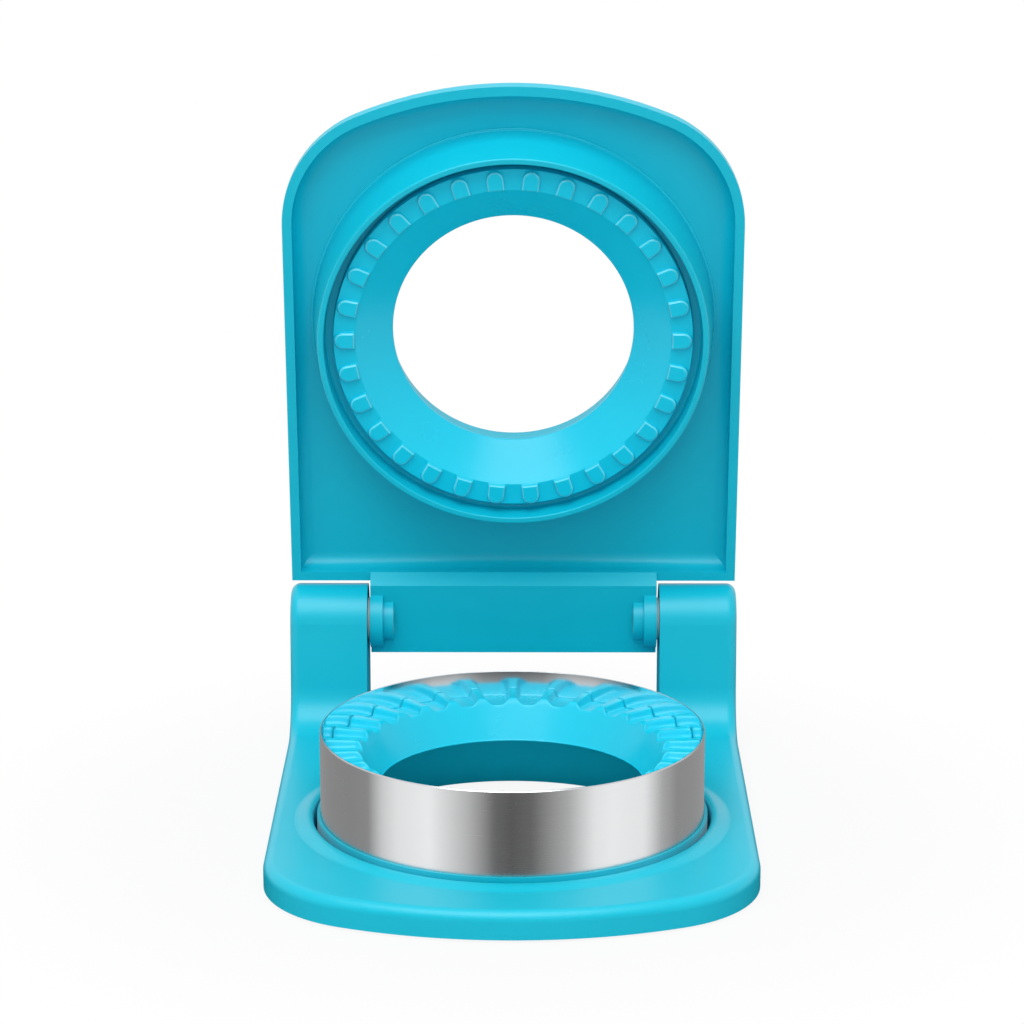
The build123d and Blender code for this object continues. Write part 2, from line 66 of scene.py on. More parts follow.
FLOOR, PAN, LID_TOP = CREST + 2.1, CREST + 15.1, CREST + 17.1  # heights in the closed lid
WEB = PAN - 4.7  # underside of the web that clamps collar and crimping ring
HINGE = frame["joints"][0]
HINGE_Y, HINGE_Z = HINGE["pos_m"][1] * METRE, HINGE["pos_m"][2] * METRE
OPENED = -math.radians(HINGE["range_deg"][1])
TEETH = 30
PITCH = 2 * math.pi / TEETH

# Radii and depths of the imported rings
STEEL_WALL = 0.5
SKIRT_INNER = 43.45
CRIMP_INNER = BAND_RADIUS - 9.25
FUNNEL_THROAT, FUNNEL_DEPTH = 31.65, 9.5
COLLAR_INNER = 47.3
LID_CRIMP_OUTER, LID_CRIMP_INNER = BAND_RADIUS - 1.0, BAND_RADIUS - 6.5
LID_HOLLOW, WINDOW_PLATE = 43.0, 45.8
LID_THROAT, LID_THROAT_RISE, LID_WALL = 30.3, 7.4, 1.8
AROUND_BAND, AROUND_LID = 512, 480  # faces round a revolved piece
JOIN = 1e-7  # points of a piece closer than this many metres are one


# Shapes

def rounded(corners, steps=5, support=0.12):
    """Round the corners of a closed outline. Each corner is (radius, height, rounding): the straight runs
    stop short of it by rounding / tan(half its angle), and an arc that touches both joins them. A point
    a little before and after each arc keeps the flats flat where faces are shaded smooth."""
    table = np.array(corners, float)
    spots, sizes = table[:, :2], table[:, 2]
    outline = []
    for here, before, after, size in zip(spots, np.roll(spots, 1, 0), np.roll(spots, -1, 0), sizes):
        back, on = before - here, after - here
        back, on = back / np.linalg.norm(back), on / np.linalg.norm(on)
        half = math.acos(np.clip(back @ on, -1, 1)) / 2
        reach = size / math.tan(half)
        middle = back + on
        centre = here + middle / np.linalg.norm(middle) * size / math.sin(half)
        share = np.linspace(0, 1, steps)[:, None]
        start, end = here + back * reach - centre, here + on * reach - centre
        sweep = math.pi - 2 * half
        arc = centre + (np.sin((1 - share) * sweep) * start + np.sin(share * sweep) * end) / math.sin(sweep)
        outline += [here + back * (reach + support), *arc, here + on * (reach + support)]
    return np.array(outline)


def ringed(radius, angle, height):
    """Points round the ring's axis: x = -r sin a, y = centre + r cos a, z = h."""
    return np.stack([-radius * np.sin(angle), RING_Y + radius * np.cos(angle), height], axis=-1)


def revolved(outline, around):
    """Carry an outline of (radius, height) round the ring's axis."""
    angle = np.linspace(0, 2 * math.pi, around, endpoint=False)[:, None]
    return ringed(outline[:, 0], angle, outline[:, 1] + 0 * angle)


def opened(points):
    """Turn points drawn for the closed lid about the hinge line, to where the open lid holds them:
    y' = hinge + dy cos t - dz sin t, z' = hinge + dy sin t + dz cos t."""
    across, up = points[..., 1] - HINGE_Y, points[..., 2] - HINGE_Z
    turned = np.array(points)
    turned[..., 1] = HINGE_Y + across * math.cos(OPENED) - up * math.sin(OPENED)
    turned[..., 2] = HINGE_Z + across * math.sin(OPENED) + up * math.cos(OPENED)
    return turned


def ramp(value, low, high):
    """Rise smoothly from 0 at low to 1 at high: t * t * (3 - 2 t), with t the share of the way."""
    share = np.clip((value - low) / (high - low), 0, 1)
    return share * share * (3 - 2 * share)


def soft_min(a, b, width):
    """The lower of two heights, with the crease between them rounded over a width of heights."""
    near = np.clip(1 - np.abs(a - b) / width, 0, None)
    return np.minimum(a, b) - near * near * width / 4


def surface(name, grid, finish, body, replaces):
    """Make an object of a closed grid, (rows, columns, xyz) in millimetres. Rows and columns both join up
    end to start, and a grid that encloses a negative volume is turned, so that its faces look outwards."""
    rows, columns = grid.shape[:2]
    index = np.arange(rows * columns).reshape(rows, columns)
    beside, above = np.roll(index, -1, 1), np.roll(index, -1, 0)
    quads = np.stack([index, beside, np.roll(above, -1, 1), above], axis=-1).reshape(-1, 4)
    spots = grid.reshape(-1, 3)
    corner = spots[quads]
    doubled = np.cross(corner[:, 2] - corner[:, 0], corner[:, 3] - corner[:, 1])
    if np.sum(doubled * corner.mean(1)) < 0:
        quads = quads[:, ::-1]
    mesh = bpy.data.meshes.new(name)
    mesh.from_pydata((spots / METRE).tolist(), [], quads.tolist())
    shape = bmesh.new()
    shape.from_mesh(mesh)
    bmesh.ops.remove_doubles(shape, verts=shape.verts, dist=JOIN)
    shape.to_mesh(mesh)
    shape.free()
    mesh.polygons.foreach_set("use_smooth", np.ones(len(mesh.polygons), bool))
    mesh.materials.append(finish)
    piece = bpy.data.objects.new(name, mesh)
    bpy.context.scene.collection.objects.link(piece)
    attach(piece, body)
    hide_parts(replaces)
    return piece


# Finishes

class Value:
    """A socket in a Python expression. + - * / add a Math node each."""

    def __init__(self, finish, socket):
        self.finish, self.socket = finish, socket

    def maths(self, operation, first, second):
        return self.finish.add("ShaderNodeMath", {"operation": operation}, {0: first, 1: second})

    def __add__(self, other):
        return self.maths("ADD", self, other)

    def __sub__(self, other):
        return self.maths("SUBTRACT", self, other)

    def __mul__(self, other):
        return self.maths("MULTIPLY", self, other)

    def __truediv__(self, other):
        return self.maths("DIVIDE", self, other)

    def __rsub__(self, other):
        return self.maths("SUBTRACT", other, self)

    __radd__, __rmul__ = __add__, __mul__

    def named(self, output):
        return Value(self.finish, self.socket.node.outputs[output])


class Finish:
    """The nodes of one material or world, and the single way to add a node to them."""

    def __init__(self, owner):
        owner.use_nodes = True
        self.owner, self.tree = owner, owner.node_tree
        self.tree.nodes.clear()

    def add(self, kind, settings=None, inputs=None):
        """Add a node: its settings first, then the value or the link of each socket."""
        node = self.tree.nodes.new(kind)
        for name, value in (settings or {}).items():
            if name == "stops":
                for spot, (place, colour) in enumerate(value):
                    held = node.color_ramp.elements
                    stop = held[spot] if spot < 2 else held.new(place)
                    stop.position, stop.color = place, colour
            else:
                setattr(node, name, value)
        for name, value in (inputs or {}).items():
            if isinstance(value, Value):
                self.tree.links.new(value.socket, node.inputs[name])
            else:
                node.inputs[name].default_value = value
        found = [output for output in node.outputs if output.enabled]
        return Value(self, found[0]) if found else None

    def place(self):
        return self.add("ShaderNodeTexCoord").named("Object")

    def noise(self, where, scale, detail=2.0, roughness=0.5):
        return self.add(
            "ShaderNodeTexNoise", {},
            {"Vector": where, "Scale": scale, "Detail": detail, "Roughness": roughness},
        )

    def parts(self, where):
        """The x, y and z of a vector, by their names."""
        return self.add("ShaderNodeSeparateXYZ", {}, {"Vector": where})

    def angle(self, across, along):
        """The angle whose tangent is across / along, over the whole turn."""
        return self.add("ShaderNodeMath", {"operation": "ARCTAN2"}, {0: across, 1: along})

    def span(self, value, start, end, low=0.0, high=1.0, kind="LINEAR"):
        """Run from low to high while a value runs from start to end, and stay there beyond."""
        return self.add(
            "ShaderNodeMapRange", {"interpolation_type": kind},
            {"Value": value, "From Min": start, "From Max": end, "To Min": low, "To Max": high},
        )

    def blend(self, share, low, high):
        """Blend two colours by a share."""
        return self.add("ShaderNodeMix", {"data_type": "RGBA"}, {0: share, 6: low, 7: high}).named(2)

    def close(self, **inputs):
        """Add the surface shader with these sockets, and the output."""
        names = {name.replace("_", " "): value for name, value in inputs.items()}
        shader = self.add("ShaderNodeBsdfPrincipled", {}, names)
        self.add("ShaderNodeOutputMaterial", {}, {"Surface": shader})
        return self.owner


def linear(colour):
    """Screen colour of 0 to 255 to the linear value that a shader wants."""
    share = np.array(colour, float) / 255
    return (*np.where(share <= 0.04045, share / 12.92, ((share + 0.055) / 1.055) ** 2.4), 1.0)


def dimmed(colour, share):
    """A colour of which a share is left."""
    return [level * share for level in colour[:3]] + [1.0]


def moulded_plastic(name, colour, gloss, grain, edge=None):
    """Moulded plastic: a colour that drifts a little in the mass, a fine spark-eroded grain from the mould,
    and a sheen that varies with handling. edge, if given, is the lowest and highest closed height in mm of
    bevels that get a painted highlight: a paler colour that stands in for the light they catch."""
    finish = Finish(bpy.data.materials.new(name))
    where = finish.place()
    drift = finish.noise(where, 28.0, 3.0)
    flow = finish.noise(where, 140.0, 2.0)
    mixed = drift * 0.7 + flow * 0.3
    deep = dimmed(colour, 0.955)
    pale = [min(share * 1.035 + 0.004, 1.0) for share in colour[:3]] + [1.0]
    sheen = finish.noise(where, 75.0, 4.0)
    pits = finish.noise(where, 5200.0, 2.0, 0.6)
    waves = finish.noise(where, 320.0, 2.0)
    relief = pits * 0.8 + waves * 0.5
    bump = finish.add("ShaderNodeBump", {}, {"Strength": grain, "Distance": 0.00004, "Height": relief})
    shade = finish.blend(mixed, deep, pale)
    # Painted highlight: bevels between the two closed heights are blended towards a pale blue that stands in for
    # light.
    if edge:
        parts, (low, high), fade = finish.parts(where), edge, 0.04
        across, up = parts.named("Y") - HINGE_Y / METRE, parts.named("Z") - HINGE_Z / METRE
        closed = (up * math.cos(OPENED) - across * math.sin(OPENED)) * METRE + HINGE_Z
        between = finish.span(closed, low, low + fade) * finish.span(closed, high, high - fade)
        shade = finish.blend(between * 0.55, shade, (0.2, 0.74, 0.84, 1.0))
    return finish.close(
        Base_Color=shade,
        Roughness=gloss - 0.05 + sheen * 0.1,
        Normal=bump,
        IOR=1.46,
        Specular_IOR_Level=0.45,
    )


def brushed_steel(name, colour, gloss, polish, centre_y):
    """Rolled steel band: hair lines run round the ring, so their scale is fine in height and long in angle.
    The inner wall is polished, and its near-white colour is a painted brightening of what it reflects; it is told
    from the outer one by its distance from the ring's axis."""
    finish = Finish(bpy.data.materials.new(name))
    where = finish.place()
    parts = finish.parts(where)
    sideways, forwards = parts.named("X"), parts.named("Y") - centre_y
    radius = finish.add(
        "ShaderNodeMath", {"operation": "SQRT"}, {0: sideways * sideways + forwards * forwards}
    )
    outside = finish.span(radius, (BAND_RADIUS - 0.35) / METRE, (BAND_RADIUS - 0.25) / METRE)
    lines = finish.add(
        "ShaderNodeCombineXYZ", {},
        {
            "X": finish.angle(sideways, forwards) * 1.3, "Y": parts.named("Z") * 900.0,
            "Z": parts.named("Y") * 6.0,
        },
    )
    hair = finish.noise(lines, 5.0, 5.0, 0.65)
    cloud = finish.noise(where, 60.0, 3.0)
    rolled = finish.blend(hair * 0.6 + cloud * 0.4, dimmed(colour, 0.9), colour)
    # Painted reflection: the inner wall's near-white colour makes its mirror image lighter than the steel's own
    # colour would.
    polished = (0.95, 0.96, 0.97, 1.0)
    rougher = gloss - 0.06 - polish + hair * 0.05 + cloud * 0.04
    bump = finish.add("ShaderNodeBump", {}, {"Strength": 0.12, "Distance": 0.00002, "Height": hair})
    return finish.close(
        Base_Color=finish.blend(outside, polished, rolled),
        Metallic=1.0,
        Roughness=polish + hair * 0.03 + outside * rougher,
        Anisotropic=0.85,
        Anisotropic_Rotation=0.25,
        Normal=bump,
    )


def turned_metal(name, colour, gloss):
    """Small plated or ground metal parts: faint blotches and a fine tooth."""
    finish = Finish(bpy.data.materials.new(name))
    where = finish.place()
    blotch = finish.noise(where, 400.0, 3.0)
    tooth = finish.noise(where, 3500.0, 2.0)
    bump = finish.add("ShaderNodeBump", {}, {"Strength": 0.15, "Distance": 0.00003, "Height": tooth})
    return finish.close(
        Base_Color=finish.blend(blotch, dimmed(colour, 0.82), colour),
        Metallic=1.0,
        Roughness=gloss + blotch * 0.12,
        Normal=bump,
    )


def soft_rubber(name, colour):
    """Matt rubber: dusty patches and an open grain."""
    finish = Finish(bpy.data.materials.new(name))
    where = finish.place()
    dust = finish.noise(where, 500.0, 3.0)
    pores = finish.noise(where, 4200.0, 2.0)
    bump = finish.add("ShaderNodeBump", {}, {"Strength": 0.3, "Distance": 0.00006, "Height": pores})
    return finish.close(
        Base_Color=finish.blend(dust, dimmed(colour, 0.88), colour),
        Roughness=0.72 + dust * 0.12,
        Normal=bump,
    )


def ready(name):
    """A finish that an earlier operator made."""
    return bpy.data.materials[name]


def paint(finish, node):
    """Give a carried-over node a finish."""
    mesh = frame["nodes"][node].data
    mesh.materials.clear()
    mesh.materials.append(finish)


# Settings that a user would change

class PlasticSettings(bpy.types.PropertyGroup):
    colour: FloatVectorProperty(
        name="Colour", description="Colour of the blue moulded plastic", subtype="COLOR", size=4,
        min=0.0, max=1.0, default=linear((0, 187, 211)),
    )
    gloss: FloatProperty(name="Roughness", description="Mean roughness", default=0.36, min=0.0, max=1.0)
    # The crimp colour is lighter than the body's blue: painted light that brightens the rings recessed in the
    # steel.
    crimp_colour_painted_lighter: FloatVectorProperty(
        name="Crimp colour", description="Colour of the two crimping rings, painted lighter than the body", subtype="COLOR", size=4,
        min=0.0, max=1.0, default=linear((0, 200, 228)),
    )
    core_gloss: FloatProperty(
        name="Crimp roughness", description="Roughness of the two crimping rings",
        default=0.26, min=0.0, max=1.0,
    )
    grain: FloatProperty(
        name="Grain", description="Strength of the mould's grain",
        default=0.1, min=0.0, max=1.0,
    )


class SteelSettings(bpy.types.PropertyGroup):
    colour: FloatVectorProperty(
        name="Colour", description="Colour of the steel band", subtype="COLOR", size=4,
        min=0.0, max=1.0, default=(0.66, 0.665, 0.67, 1.0),
    )
    gloss: FloatProperty(
        name="Roughness", description="Mean roughness outside",
        default=0.26, min=0.0, max=1.0,
    )
    polish: FloatProperty(
        name="Polish", description="Roughness of the inner wall",
        default=0.08, min=0.0, max=1.0,
    )


class LowerCrimpSettings(bpy.types.PropertyGroup):
    ridge: FloatProperty(
        name="Ridge", description="Share of a pitch that the ridges take",
        default=0.28,
    )
    depth: FloatProperty(name="Depth", description="Depth of a pocket at the steel, in mm", default=2.0)
    slope: FloatProperty(
        name="Slope", description="Rise of a pocket towards the middle, per mm",
        default=0.06,
    )
    nose: FloatProperty(
        name="Nose", description="Length of a pocket's round inner end, in mm",
        default=2.2,
    )
    shoulder: FloatProperty(
        name="Shoulder", description="Height over which the crest rounds, in mm",
        default=1.2,
    )
    lip: FloatProperty(
        name="Lip", description="Rounding of the edge along the steel, in mm",
        default=0.7,
    )
    flank: FloatProperty(
        name="Flank", description="Share of a pitch that a ridge's flank takes",
        default=0.12,
    )


class UpperCrimpSettings(bpy.types.PropertyGroup):
    width: FloatProperty(name="Width", description="Width of a tooth, in mm", default=4.4)
    height: FloatProperty(name="Height", description="Height of a tooth, in mm", default=1.3)
    wall: FloatProperty(name="Wall", description="Lean of a tooth's wall, in mm", default=0.12)
    bevel: FloatProperty(
        name="Bevel", description="Width of the bevel round a tooth, in mm",
        default=0.4,
    )


class CameraSettings(bpy.types.PropertyGroup):
    lens: FloatProperty(name="Lens", description="Focal length in mm", default=121.73)
    place: FloatVectorProperty(
        name="Place", description="Place of the camera", subtype="TRANSLATION", size=3,
        default=(0.00295, -0.79996, 0.28836),
    )
    tilt: FloatProperty(
        name="Tilt", description="Tilt from straight down", subtype="ANGLE", default=math.radians(75.35),
    )
    roll: FloatProperty(
        name="Turn", description="Turn to the left", subtype="ANGLE",
        default=math.radians(0.22),
    )


class StageSettings(bpy.types.PropertyGroup):
    key: FloatProperty(name="Key", description="Power of the lamp overhead, in watts", default=9.0)
    fill: FloatProperty(name="Fill", description="Power of the lamp in front, in watts", default=4.5)
    sky: FloatProperty(
        name="Sky", description="Strength of the even light from all round",
        default=0.55,
    )


# Pieces

def lower_crimp_height(radius, turn, sizes):
    """Height of the lower crimp at a radius and a share of the pitch from a pocket's middle (-0.5 to 0.5).
    Ridges have the crest's height and round over into the funnel's cone. A pocket's floor rises slowly from
    the steel to a round inner end at the funnel, and soft flanks join it to the ridges."""
    crease, round_from, narrowest = 0.4, CRIMP_INNER + 1.3, 0.99
    climb = FUNNEL_DEPTH / (CRIMP_INNER - FUNNEL_THROAT)
    cone = CREST - FUNNEL_DEPTH + (radius - FUNNEL_THROAT) * climb
    ridge = soft_min(CREST + 0 * turn, cone, sizes.shoulder)
    floor = CREST - sizes.depth + sizes.slope * (BAND_RADIUS - STEEL_WALL - radius)
    pocket = soft_min(floor + 0 * turn, cone, crease)
    wide = 0.5 - sizes.ridge / 2
    edge = wide * np.sqrt(1 - ((round_from - radius) / sizes.nose).clip(0, narrowest) ** 2)
    inside = ramp(np.abs(turn), edge + sizes.flank / 2, edge - sizes.flank / 2)
    return ridge + (pocket - ridge) * inside


class CUTTER_OT_finishes(bpy.types.Operator):
    """Make the finishes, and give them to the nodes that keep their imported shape"""

    bl_idname = "cutter.finishes"
    bl_label = "Finishes"

    def execute(self, context):
        plastic, steel = context.scene.cutter_plastic, context.scene.cutter_steel
        blue = moulded_plastic("Blue plastic", tuple(plastic.colour), plastic.gloss, plastic.grain)
        brushed_steel("Brushed steel", tuple(steel.colour), steel.gloss, steel.polish, RING_Y / METRE)
        # The crimp finishes use the lighter blue, which is painted light for the recessed rings.
        moulded_plastic("Crimp plastic painted lighter", tuple(plastic.crimp_colour_painted_lighter), plastic.core_gloss, plastic.grain)
        teeth = context.scene.cutter_upper_crimp
        # The toothed finish paints a highlight on the bevels of the lid's teeth.
        moulded_plastic(
            "Toothed plastic with painted highlight", tuple(plastic.crimp_colour_painted_lighter), plastic.core_gloss, plastic.grain,
            (FLOOR - teeth.height + 0.02, FLOOR - teeth.height + teeth.bevel),
        )
        nylon = moulded_plastic("White nylon", (0.8, 0.8, 0.77, 1.0), 0.5, 0.15)
        ground = turned_metal("Ground steel", (0.62, 0.62, 0.62, 1.0), 0.2)
        plated = turned_metal("Plated steel", (0.6, 0.6, 0.6, 1.0), 0.3)
        rubber = soft_rubber("Pale rubber", (0.68, 0.68, 0.66, 1.0))
        slots = {
            "blue_plastic": blue, "white_nylon": nylon, "pin_steel": ground, "screw_steel": plated,
            "foot_rubber": rubber, "ring_steel": ready("Brushed steel"),
        }
        for part in frame["record"]["subparts"]:
            paint(slots[part["material_slot"]], part["node"])
        return {"FINISHED"}


class CUTTER_OT_band(bpy.types.Operator):
    """Draw the steel band with its ground cutting edge"""

    bl_idname = "cutter.band"
    bl_label = "Steel band"

    def execute(self, context):
        outer, inner, ground = BAND_RADIUS, BAND_RADIUS - STEEL_WALL, STEEL_WALL / 2
        low, high = BAND_LOW.z, BAND_HIGH.z
        outline = rounded(
            [
                (inner, low, 0.04), (outer, low, 0.08), (outer, high - ground, 0.06),
                (outer - ground, high, 0.04), (inner, high, 0.06),
            ],
            steps=4, support=0.05,
        )
        surface(
            "steel_band", revolved(outline, AROUND_BAND), ready("Brushed steel"), "base",
            "cutter_ring",
        )
        return {"FINISHED"}


class CUTTER_OT_lower_crimp(bpy.types.Operator):
    """Draw the pocketed ring and the funnel inside the steel"""

    bl_idname = "cutter.lower_crimp"
    bl_label = "Lower crimping ring"

    def execute(self, context):
        sizes = context.scene.cutter_lower_crimp
        outer, low = CORE_HIGH.x, CORE_LOW.z
        columns, dense_to, throat = 34, 35.0, FUNNEL_THROAT
        turn = np.linspace(-0.5, 0.5, columns, endpoint=False)
        angle = ((np.arange(TEETH)[:, None] + 0.5 + turn) * PITCH).reshape(-1, 1)
        turn = np.tile(turn, TEETH)[:, None]
        lip = sizes.lip
        field = np.concatenate(
            [
                outer - lip * np.array([0.0, 0.03, 0.1, 0.23, 0.43, 0.69]),
                np.linspace(outer - lip, dense_to, 56),
                np.linspace(dense_to - 0.4, throat + 0.45, 9),
                [throat + 0.25, throat + 0.15],
            ]
        )
        drop = lip - np.sqrt(lip ** 2 - (lip - (outer - field)).clip(0) ** 2)
        top = lower_crimp_height(np.minimum(field, outer - 0.1), turn, sizes) - drop
        skirt, foot, tongue = SKIRT_INNER, low - CREST, 0.95 - CREST
        under = np.array(
            [
                (throat + 0.01, -9.1), (throat + 0.01, -9.45), (throat + 0.07, -9.49), (throat + 0.2, -9.5),
                (33.0, -9.5), (33.3, -9.3), (33.6, -8.95), (37.9, -4.1), (38.6, -3.75),
                (skirt - 0.45, -3.7), (skirt - 0.05, -4.1), (skirt - 0.04, tongue), (skirt - 0.01, tongue),
                (skirt, foot), (outer, foot), (outer, -10.0), (outer, -4.0),
            ]
        ) + (0, CREST)
        radius = np.concatenate([field, under[:, 0]])
        height = np.concatenate([top, np.repeat(under[None, :, 1], len(turn), 0)], axis=1)
        surface(
            "crimp_core", ringed(radius, angle, height), ready("Crimp plastic painted lighter"), "base",
            "lower_crimp_ring",
        )
        return {"FINISHED"}


class CUTTER_OT_upper_crimp(bpy.types.Operator):
    """Draw the toothed floor of the lid and the cone up to the window"""

    bl_idname = "cutter.upper_crimp"
    bl_label = "Upper crimping ring"

    def execute(self, context):
        sizes = context.scene.cutter_upper_crimp
        outer, inner, floor, margin = LID_CRIMP_OUTER, LID_CRIMP_INNER, FLOOR, 0.15
        throat, wall, rise = LID_THROAT, LID_WALL, FLOOR + LID_THROAT_RISE
        half, reach, tooth = sizes.width / 2, 3.0, 0.74
        depths = np.array(
            [half, 1.6, 1.1, 0.75, 0.58, 0.52, 0.46, 0.32, 0.18, 0.12, 0.08, 0.04, 0.0, -0.05, -0.4]
        )
        share = np.concatenate([(half - depths) / reach * tooth, np.linspace(tooth, 1, 3, endpoint=False)])
        share = np.concatenate([-share[:0:-1], share])
        field = np.concatenate([[outer - 0.05], np.linspace(outer - margin, inner + 0.08, 46), [inner]])
        side = np.abs(share)[:, None]
        near = np.arcsin(np.minimum(side / tooth, 1) * reach / field)
        far = (side - tooth).clip(0) / (1 - tooth) * (PITCH / 2 - np.arcsin(reach / field))
        swing = np.sign(share)[:, None] * (near + far)
        across, out = field * np.sin(swing), field * np.cos(swing)
        end = outer - margin - half
        inside = half - np.hypot(across, (out - end).clip(0))
        inside = np.minimum(inside, (out - inner - margin) * 1.4)
        upright = (sizes.height - sizes.bevel) * ramp(inside, 0, sizes.wall)
        height = floor - upright - (inside - sizes.wall).clip(0, sizes.bevel)
        height[:, 0] += 0.02
        angle = (np.arange(TEETH)[:, None, None] * PITCH + PITCH / 2 + swing).reshape(-1, len(field))
        height = np.tile(height, (TEETH, 1))
        rest = rounded(
            [
                (outer, floor, 0.22), (outer, WEB, 0.2), (LID_HOLLOW, WEB, 0.2),
                (LID_HOLLOW, floor + wall, 0.5), (inner + wall / 2, floor + wall, 0.5),
                (throat + wall, rise, 0.5), (throat + wall, rise + 0.9, 0.2),
                (throat, rise + 0.9, 0.2), (throat, rise, 0.5), (inner, floor, 0.3),
            ],
        )
        joined = 3  # points at each end that lie in the toothed floor
        rest = rest[joined:-joined]
        radius = np.concatenate([field, rest[::-1, 0]])
        whole = np.concatenate([angle, np.repeat(angle[:, -1:], len(rest), 1)], axis=1)
        blend = np.concatenate([height, np.repeat(rest[None, ::-1, 1], len(height), 0)], axis=1)
        surface(
            "crimp_lid", opened(ringed(radius, whole, blend)), ready("Toothed plastic with painted highlight"), "lid",
            "upper_crimp_ring",
        )
        return {"FINISHED"}


class CUTTER_OT_collar(bpy.types.Operator):
    """Draw the standing collar of the lid"""

    bl_idname = "cutter.collar"
    bl_label = "Press collar"

    def execute(self, context):
        end, bore, foot, thin = FLOOR - 3.7, COLLAR_INNER, COLLAR_INNER + 4.0, PAN - 0.5
        hub, inner, clamp, groove = PAN - 2.5, 37.1, 45.07, BAND_HIGH.z + 0.8
        outline = rounded(
            [
                (bore, end, 0.3), (bore + 1.5, end, 0.4), (foot - 0.55, thin, 0.15), (foot, thin, 0.22),
                (foot, PAN, 0.05), (bore, PAN, 0.1), (bore, hub, 0.1), (inner, hub, 0.2),
                (inner, WEB, 0.2), (clamp, WEB, 0.2), (clamp, groove, 0.15), (bore, groove, 0.6),
            ],
            support=0.08,
        )
        surface(
            "standing_collar", opened(revolved(outline, AROUND_LID)), ready("Blue plastic"), "lid",
            "press_collar",
        )
        return {"FINISHED"}


class CUTTER_OT_window(bpy.types.Operator):
    """Draw the ring round the window, with the plate on the back of the lid"""

    bl_idname = "cutter.window"
    bl_label = "Window ring"

    def execute(self, context):
        inner, tube, plate = LID_THROAT + 1.0, LID_THROAT + 3.0, WINDOW_PLATE
        low, under = FLOOR + LID_THROAT_RISE + 0.95, LID_TOP - 1.2
        outline = rounded(
            [
                (inner, low, 0.3), (tube, low, 0.3), (tube, under, 0.2),
                (plate, under, 0.1), (plate, LID_TOP, 0.35), (inner, LID_TOP, 0.9),
            ],
        )
        surface(
            "window_rim", opened(revolved(outline, AROUND_LID)), ready("Blue plastic"), "lid",
            "window_ring",
        )
        return {"FINISHED"}


